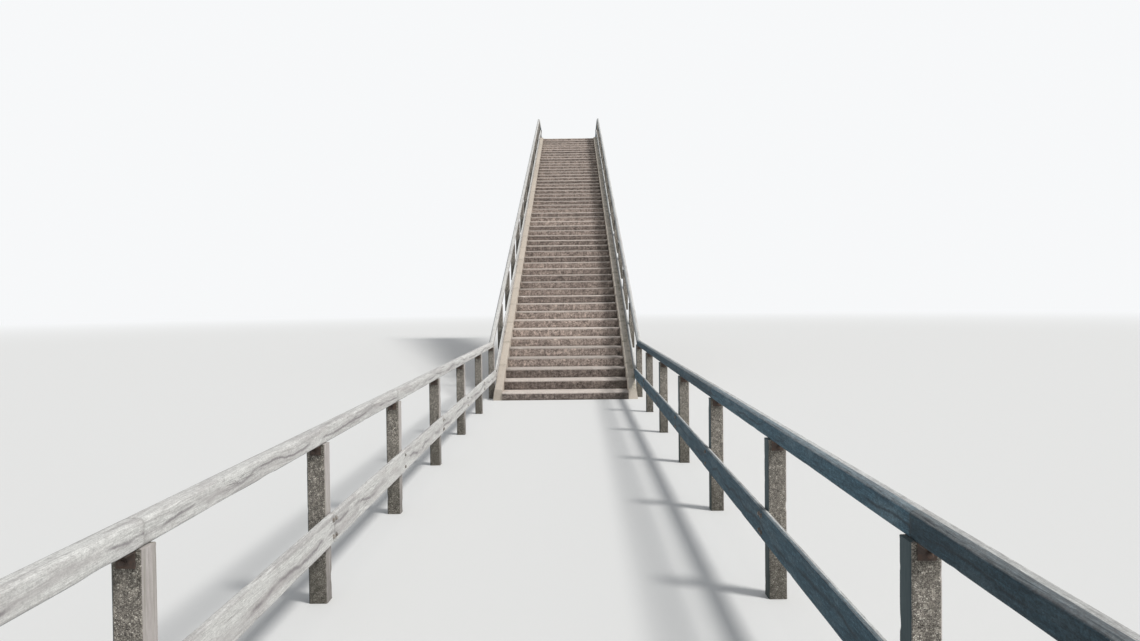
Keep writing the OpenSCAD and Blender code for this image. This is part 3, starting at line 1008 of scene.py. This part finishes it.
def kerb_material():
    n = new_nodes("weathered_kerb_concrete")
    darker, paler, painted_light_pale = (0.575, 0.5, 0.425), (0.72, 0.645, 0.56), (0.89, 0.81, 0.705)
    dark_stone, pale_stone = (0.2, 0.165, 0.14), (0.78, 0.74, 0.67)
    dark_moss, pale_moss, lichen = (0.05, 0.052, 0.03), (0.26, 0.255, 0.15), (0.58, 0.57, 0.47)
    base = n.mix(n.noise(7, 4, 0.6), darker, paler)
    stone = n.part(n.cells(150), 0)
    base = n.mix(n.ramp(stone, (0, 0.38), (0.16, 0)), base, dark_stone)
    base = n.toward(base, pale_stone, stone, 0.88, 0.95, 0.55)
    base = n.shaded(base, n.field("tone"), (0, 0.72), (1, 1.12))
    # painted light: the right kerb turned toward a paler colour
    base = n.mix(n.math("SUBTRACT", 1.0, n.field("bleach")), base, painted_light_pale)
    broad, narrow = n.noise(13, 5, 0.75), n.noise(62, 4, 0.7)
    patch = n.math("ADD", n.product(broad, 0.6), n.product(narrow, 0.4))
    coarse = n.ramp(n.noise(4.6, 4, 0.65), (0.42, 0.25), (0.56, 1), (0.68, 1.25))
    growth = n.product(n.field("damp"), coarse, n.ramp(patch, (0.4, 0.25), (0.56, 1)))
    colour = n.mix(n.product(growth, 0.85), base, n.mix(patch, dark_moss, pale_moss))
    colour = n.toward(colour, lichen, n.noise(38, 3, 0.6), 0.66, 0.72, 0.45)
    grit = n.noise(300, 3, 0.65)
    normal = n.bump(growth, 0.002, 0.4, n.bump(grit, 0.0012, 0.5))
    return n.done(n.surface(colour, n.ramp(grit, (0.2, 0.8), (0.8, 0.96)), normal))


def post_sides(n, drawn, cloud, bleach):
    """Pitted smooth sides: pale and stained on faces turned to the key light, else a blue-grey painted
    shade.
    """
    darker, paler, stain = (0.43, 0.39, 0.37), (0.6, 0.56, 0.54), (0.3, 0.285, 0.235)
    dark_painted_shade, light_painted_shade, pit = (0.035, 0.055, 0.064), (0.085, 0.115, 0.122), (0.12, 0.11, 0.105)
    pale = n.toward(darker, paler, drawn, 0.3, 0.7)
    stains = n.noise(1, 3, 0.65, at=n.scaled(n.place, (34, 34, 2.2), (0, 0, 5.0)))
    pale = n.toward(pale, stain, stains, 0.46, 0.66, 0.62)
    smooth = n.toward(n.mix(drawn, dark_painted_shade, light_painted_shade), pale, bleach, 0.15, 0.75)
    pits = n.ramp(n.cells(210, "Distance"), (0.1, 0.6), (0.2, 0))
    return n.mix(n.product(pits, n.ramp(cloud, (0.45, 0), (0.6, 1))), smooth, pit)


def post_material():
    n = new_nodes("cast_post_concrete")
    cement, algae = (0.27, 0.248, 0.212), (0.085, 0.085, 0.055)
    damp, washed = n.field("damp"), n.field("wear")
    stones, height = washed_aggregate(n, POST_STONE_SCALE, POST_STONES)
    stones = n.shaded(stones, n.noise(46, 3, 0.75), (0.32, 0.48), (0.5, 1), (0.68, 1.6))
    cloud = n.noise(9, 4, 0.6)
    front = n.toward(stones, cement, cloud, 0.35, 0.7, 0.35)
    drawn = n.noise((60, 60, 11), 4, 0.7)
    smooth = post_sides(n, drawn, cloud, n.field("bleach"))
    colour = n.toward(smooth, front, washed, 0.35, 0.8)
    colour = n.shaded(colour, n.field("tone"), (0, 0.75), (1, 1.2))
    green = n.product(damp, n.ramp(n.noise(28, 4, 0.65), (0.3, 0.2), (0.7, 1)))
    colour = n.mix(n.product(green, 0.8), colour, algae)
    # darker towards the foot, as algae and painted shade
    colour = n.shaded(colour, damp, (0, 1), (0.5, 0.66))
    grit = n.noise(500, 2, 0.6)
    normal = n.bump(n.product(height, washed), 0.004, 0.6)
    fine = n.math("ADD", n.product(grit, 0.5), n.product(drawn, 0.4))
    normal = n.bump(fine, 0.0005, 0.4, normal)
    return n.done(n.surface(colour, n.ramp(grit, (0.2, 0.74), (0.8, 0.93)), normal))


def silver_timber(n, fibres, streaks, bands, cloud, fleck, grime):
    darker, paler = (0.56, 0.55, 0.53), (0.9, 0.9, 0.865)
    streak, band, dull = (0.4, 0.375, 0.37), (0.43, 0.405, 0.4), (0.6, 0.555, 0.54)
    silver = n.toward(darker, paler, fibres, 0.3, 0.68)
    silver = n.toward(silver, streak, streaks, 0.53, 0.7, 0.7)
    silver = n.toward(silver, band, bands, 0.5, 0.66, 0.62)
    silver = n.toward(silver, dull, cloud, 0.5, 0.72, 0.42)
    silver = n.shaded(silver, fleck, (0.3, 0.82), (0.7, 1.12))
    return n.shaded(silver, grime, (0.34, 0.8), (0.54, 1.02), (0.7, 1.08))


# painted shade: the timber's colour on faces turned away from the key light
def painted_shade_timber(n, fibres, streaks, cloud, fleck, grime, tone):
    darker, paler = (0.021, 0.051, 0.071), (0.07, 0.131, 0.172)
    streak, worn = (0.016, 0.033, 0.048), (0.112, 0.163, 0.192)
    painted_shade = n.toward(darker, paler, fibres, 0.3, 0.7)
    painted_shade = n.toward(painted_shade, streak, streaks, 0.5, 0.66, 0.75)
    painted_shade = n.toward(painted_shade, worn, cloud, 0.48, 0.7, 0.55)
    painted_shade = n.shaded(painted_shade, fleck, (0.3, 0.66), (0.7, 1.34))
    painted_shade = n.shaded(painted_shade, grime, (0.34, 0.58), (0.52, 1), (0.68, 1.62))
    return n.shaded(painted_shade, tone, (0.25, 0.62), (0.5, 1), (0.75, 1.25))


def long_check(n, high):
    """The long drying check that wanders along a rail, and the stained band round it."""
    path = n.node("CombineXYZ", {0: n.part(n.place, 0), 1: 7.0})
    middle = n.math("ADD", 0.46, n.swing(n.noise(1.9, 3, 0.5, at=path), 1.1))
    off = n.math("ABSOLUTE", n.math("SUBTRACT", high, middle))
    frayed = n.math("ADD", off, n.swing(n.noise(60, 3, 0.7), 0.14))
    width = n.ramp(frayed, (0, 1), (0.022, 0.9), (0.085, 0))
    there = n.ramp(n.noise(2.4, 2, 0.5, at=path), (0.44, 0), (0.52, 1))
    stained = n.ramp(n.noise(1.3, 2, 0.5, at=path), (0.4, 0), (0.55, 1))
    return n.product(width, there), n.product(n.ramp(frayed, (0.04, 1), (0.26, 0)), stained)


def thin_splits(n, flow):
    """Hairline splits along the grain, where a coarser noise lets them show."""
    line = n.noise((1, 60, 60), 2, 0.5, at=flow)
    thin = n.ramp(line, (0.486, 0), (0.497, 1), (0.503, 1), (0.514, 0))
    coarse = n.noise(1, 2, at=n.scaled(n.place, (1.7, 11, 11), (3.3, 0, 0)))
    some = n.ramp(coarse, (0.56, 0), (0.64, 1))
    return n.product(thin, some)


def timber_material():
    n = new_nodes("weathered_rail_timber")
    stained, end_grain, lichen = (0.42, 0.395, 0.39), (0.1, 0.09, 0.08), (0.8, 0.81, 0.76)
    dark_split, pale_split = (0.018, 0.026, 0.032), (0.2, 0.178, 0.186)
    tone, damp, bleach, high = n.field("tone"), n.field("damp"), n.field("bleach"), n.field("wear")
    knots = n.noise((1.7, 8, 8), 2, 0.5, "Color")
    flow = n.shifted(n.place, knots, (0.3, 0.05, 0.05))
    fibres = n.noise((10, 190, 190), 4, 0.7, at=flow)
    streaks = n.noise((3.2, 75, 75), 4, 0.65, at=flow)
    bands = n.noise((1.2, 26, 26), 3, 0.6, at=flow)
    cloud = n.noise((3.0, 14, 14), 3, 0.55)
    fleck = n.noise((130, 260, 260), 2, 0.6)
    grime = n.noise((34, 60, 60), 5, 0.85)
    silver = silver_timber(n, fibres, streaks, bands, cloud, fleck, grime)
    painted_shade = painted_shade_timber(n, fibres, streaks, cloud, fleck, grime, tone)
    # painted shade where the timber turns away from the key light, silver where it turns to it
    ragged = n.math("ADD", bleach, n.swing(fibres, 0.34))
    colour = n.toward(painted_shade, silver, ragged, 0.12, 0.92)
    colour = n.shaded(colour, tone, (0, 0.84), (1, 1.1))

    check, band = long_check(n, high)
    colour = n.mix(n.product(band, bleach, 0.5), colour, stained)
    split = n.math("MAXIMUM", thin_splits(n, flow), check)
    colour = n.mix(n.product(split, 0.72), colour, n.mix(bleach, dark_split, pale_split))
    spots = n.ramp(n.cells(95, "Distance"), (0.08, 1), (0.17, 0))
    crust = n.ramp(n.noise(13, 4, 0.7), (0.56, 0), (0.66, 1))
    crusted = n.product(spots, crust, n.ramp(high, (0.8, 0), (0.95, 1)))
    colour = n.mix(n.product(crusted, 0.6), colour, lichen)
    colour = n.mix(n.product(damp, 0.7), colour, end_grain)
    relief = n.math("ADD", fibres, n.product(streaks, 0.8))
    relief = n.math("SUBTRACT", relief, n.product(split, 1.2))
    normal = n.bump(relief, 0.0018, 0.6)
    return n.done(n.surface(colour, n.ramp(fibres, (0.2, 0.72), (0.8, 0.92)), normal))


def rust_material():
    n = new_nodes("rusted_steel")
    dark, brown = (0.058, 0.045, 0.04), (0.092, 0.068, 0.057)
    red, orange = (0.135, 0.09, 0.068), (0.2, 0.135, 0.1)
    zinc, rusty_zinc = (0.43, 0.42, 0.4), (0.24, 0.19, 0.15)
    patch = n.noise(55, 5, 0.7)
    rust = n.ramp(patch, (0.3, dark), (0.48, brown), (0.62, red), (0.78, orange))
    colour = n.mix(n.field("bleach"), rust, n.toward(zinc, rusty_zinc, patch, 0.4, 0.68))
    colour = n.shaded(colour, n.field("tone"), (0, 0.7), (1, 1.2))
    normal = n.bump(n.noise(420, 4, 0.7), 0.0006, 0.6)
    roughness = n.ramp(patch, (0.3, 0.55), (0.7, 0.9))
    return n.done(n.surface(colour, roughness, normal, specular=0.4, metallic=0.25))


# stage
FLOOR_COLOUR = (0.8, 0.8, 0.79)
FLOOR_REACH, FLOOR_Z = 400.0, -0.001
BACKDROP_COLOUR = (0.93, 0.94, 0.95)
FADE_MIDDLE_Y = 4.0
FADE_STRETCH = (1, 0.8, 0)
FADE_REACH = 100.0
FILL_COLOUR = (0.93, 0.96, 1)
FILL_STRENGTH = 0.42
KEY_COLOUR = (1, 0.985, 0.96)
KEY_POWER = 2.3
KEY_ELEVATION = math.radians(52)
KEY_AZIMUTH = math.radians(-30)
KEY_SOFTNESS = math.radians(13)


def backdrop_rays(n, *kinds):
    """1 for the rays that see the backdrop, 0 for those that only light the part."""
    seen = 0.0
    for kind in kinds:
        seen = n.math("MAXIMUM", seen, n.node("LightPath", {}, f"Is {kind} Ray"))
    return seen


def make_floor():
    """A wide pale floor that fades into the backdrop far from the part."""
    r = FLOOR_REACH
    corners = [(x, y, FLOOR_Z) for x, y in ((-r, -r), (r, -r), (r, r), (-r, r))]
    mesh = bpy.data.meshes.new("floor")
    mesh.from_pydata(corners, [], [(0, 1, 2, 3)])
    n = Nodes(bpy.data.materials.new("pale_floor"))
    position = n.node("NewGeometry", {}, "Position")
    from_middle = n.scaled(position, FADE_STRETCH, (0, -FADE_MIDDLE_Y, 0))
    distance = n.node("VectorMath", {0: from_middle}, "Value", operation="LENGTH")
    fade = n.ramp(n.product(distance, 1 / FADE_REACH), (0.22, 0), (0.8, 1))
    fade.node.color_ramp.interpolation = "EASE"
    faded = n.product(fade, backdrop_rays(n, "Camera", "Glossy"))
    glow = n.node("Emission", {0: BACKDROP_COLOUR})
    surface = n.surface(FLOOR_COLOUR, 0.9, specular=0.1)
    mesh.materials.append(n.done(n.node("MixShader", {0: faded, 1: surface, 2: glow})))
    put_in_scene("floor", mesh)


def make_light():
    world = bpy.data.worlds.new("studio")
    bpy.context.scene.world = world
    n = Nodes(world, "World")
    seen = backdrop_rays(n, "Camera", "Glossy", "Transmission")
    lit = n.node("Background", {0: FILL_COLOUR, 1: FILL_STRENGTH})
    shown = n.node("Background", {0: BACKDROP_COLOUR, 1: 1.0})
    n.done(n.node("MixShader", {0: seen, 1: lit, 2: shown}))

    lamp = bpy.data.lights.new("key", "SUN")
    lamp.energy = KEY_POWER
    lamp.angle = KEY_SOFTNESS
    lamp.color = KEY_COLOUR
    key = put_in_scene("key", lamp)
    key.location = (20, 0, 20)
    key.rotation_euler = (0, math.pi / 2 - KEY_ELEVATION, KEY_AZIMUTH)


def make_camera():
    data = bpy.data.cameras.new("photo_view")
    data.sensor_width = SENSOR_MM
    data.sensor_fit = "HORIZONTAL"
    data.lens = LENS_MM
    data.clip_end = CLIP_FAR
    data.clip_start = CLIP_NEAR
    camera = put_in_scene("photo_view", data)
    camera.location = EYE
    turn = Matrix.Rotation(EYE_YAW, 3, "Z") @ Matrix.Rotation(math.pi / 2 - EYE_PITCH, 3, "X")
    camera.rotation_euler = (turn @ Matrix.Rotation(-EYE_ROLL, 3, "Z")).to_euler()
    bpy.context.scene.camera = camera


make_camera()
make_light()
make_floor()
make_steps(step_material())
make_kerbs(kerb_material())
make_posts(post_material())
make_rails(timber_material())
steel = rust_material()
make_brackets(steel)
make_low_rail_bolts(steel)
bpy.context.scene.view_settings.view_transform = "Standard"
